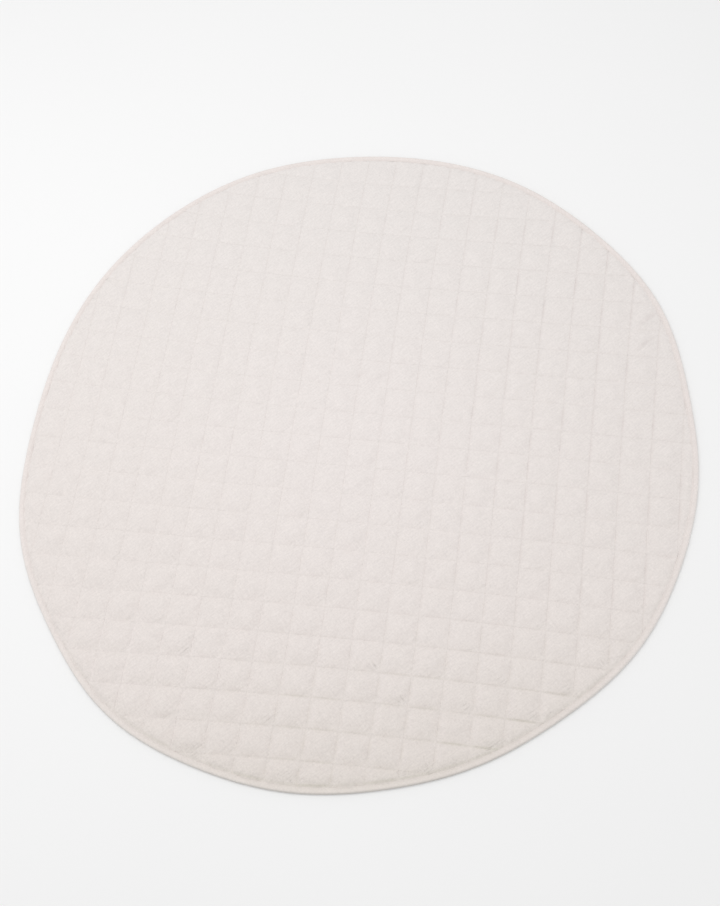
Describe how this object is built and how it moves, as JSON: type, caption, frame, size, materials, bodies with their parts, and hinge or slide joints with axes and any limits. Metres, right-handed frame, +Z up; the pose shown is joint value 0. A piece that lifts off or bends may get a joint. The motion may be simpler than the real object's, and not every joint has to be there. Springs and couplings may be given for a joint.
{
  "type": "round quilted baby play mat",
  "caption": "Round padded floor mat of pale cloth, quilted in squares, with a narrow folded binding round its edge, lying flat.",
  "frame": {"origin": "middle of the mat's footprint, on its underside, at floor level", "axes": "+Z up out of the quilted face, +X along the rows of quilting, +Y along the columns, away from the near edge"},
  "size_m": [1.1337, 1.1566, 0.0114],
  "materials": {
    "quilted_cloth": "pale oatmeal washed cotton and linen, matt, fine slubs at 45 degrees to the quilting",
    "binding_cloth": "the same pale cloth, matt, folded over the edge and stitched down"
  },
  "bodies": {
    "root": {"quilted_mat": "quilted_cloth", "edge_binding": "binding_cloth"}
  },
  "joints": []
}
